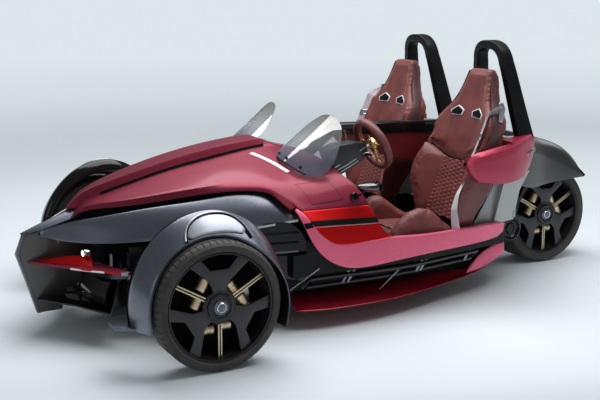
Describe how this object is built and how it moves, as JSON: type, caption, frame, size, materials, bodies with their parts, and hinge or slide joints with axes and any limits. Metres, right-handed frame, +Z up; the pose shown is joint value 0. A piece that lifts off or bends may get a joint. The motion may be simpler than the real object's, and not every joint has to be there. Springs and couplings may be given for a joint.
{
  "type": "open three-wheeled car",
  "caption": "Open side-by-side car on paired steered front wheels and a single driven rear wheel, with low screens, bucket seats and roll hoops.",
  "frame": {"origin": "on the ground, under the middle of the overall length and width", "axes": "+X towards the nose, +Y to the car's left, +Z up"},
  "size_m": [3.4899, 1.956, 1.379],
  "materials": {
    "burgundy_paint": "metallic gloss",
    "gunmetal_paint": "metallic satin",
    "satin_black": "satin",
    "gloss_black": "gloss",
    "dark_frame": "satin",
    "silver_panel": "satin",
    "brown_leather": "satin, quilted centres",
    "belt_webbing": "woven",
    "smoked_glass": "clear, lightly smoked",
    "mirror_chrome": "polished",
    "tyre_rubber": "matte",
    "wheel_black": "satin",
    "machined_steel": "machined",
    "lamp_lens": "clear"
  },
  "bodies": {
    "body": {"chassis_tub": "satin_black", "battery_pack": "dark_frame", "front_frame": "dark_frame", "side_rails": "satin_black", "nose_keel": "satin_black", "left_nose_wing": "gunmetal_paint", "right_nose_wing": "gunmetal_paint", "nose_fins": "burgundy_paint", "splitter": "satin_black", "headlamps": "lamp_lens", "bonnet": "burgundy_paint", "left_cowl": "burgundy_paint", "right_cowl": "burgundy_paint", "left_sill": "burgundy_paint", "right_sill": "burgundy_paint", "side_skirts": "burgundy_paint", "windscreens": "smoked_glass", "mirrors": "mirror_chrome", "dashboard": "satin_black", "steering_column": "satin_black", "left_seat": "brown_leather", "right_seat": "brown_leather", "left_cushion": "brown_leather", "right_cushion": "brown_leather", "centre_beam": "gloss_black", "seat_belts": "belt_webbing", "rear_body": "silver_panel", "left_shoulder_pod": "burgundy_paint", "right_shoulder_pod": "burgundy_paint", "left_roll_hoop": "gloss_black", "right_roll_hoop": "gloss_black", "tail_fender": "gunmetal_paint", "swing_arm": "dark_frame", "front_suspension": "dark_frame"},
    "left_corner": {"left_knuckle": "machined_steel", "left_front_fender": "gunmetal_paint"},
    "right_corner": {"right_knuckle": "machined_steel", "right_front_fender": "gunmetal_paint"},
    "left_wheel": {"left_front_wheel": "wheel_black", "left_front_tyre": "tyre_rubber"},
    "right_wheel": {"right_front_wheel": "wheel_black", "right_front_tyre": "tyre_rubber"},
    "rear_wheel_set": {"rear_wheel": "wheel_black", "rear_tyre": "tyre_rubber"},
    "steering_wheel": {"steering_wheel": "brown_leather"}
  },
  "joints": [
    {"name": "left_steering", "type": "hinge", "parent": "body", "child": "left_corner", "pos_m": [1.072, 0.775, 0.296], "axis": [0, 0, 1], "range_deg": [-28, 28]},
    {"name": "right_steering", "type": "hinge", "parent": "body", "child": "right_corner", "pos_m": [1.072, -0.775, 0.296], "axis": [0, 0, 1], "range_deg": [-28, 28]},
    {"name": "steering_wheel_turn", "type": "hinge", "parent": "body", "child": "steering_wheel", "pos_m": [-0.04, 0.377, 0.866], "axis": [-0.8988, 0, 0.4384], "range_deg": [-420, 420]},
    {"name": "left_wheel_spin", "type": "hinge", "parent": "left_corner", "child": "left_wheel", "pos_m": [1.072, 0.872, 0.296], "axis": [0, 1, 0], "continuous": true},
    {"name": "right_wheel_spin", "type": "hinge", "parent": "right_corner", "child": "right_wheel", "pos_m": [1.072, -0.872, 0.296], "axis": [0, 1, 0], "continuous": true},
    {"name": "rear_wheel_spin", "type": "hinge", "parent": "body", "child": "rear_wheel_set", "pos_m": [-1.449, 0, 0.296], "axis": [0, 1, 0], "continuous": true}
  ],
  "couplings": [
    {"joint": "right_steering", "follows": "left_steering", "ratio": 1},
    {"joint": "steering_wheel_turn", "follows": "left_steering", "ratio": 15}
  ]
}
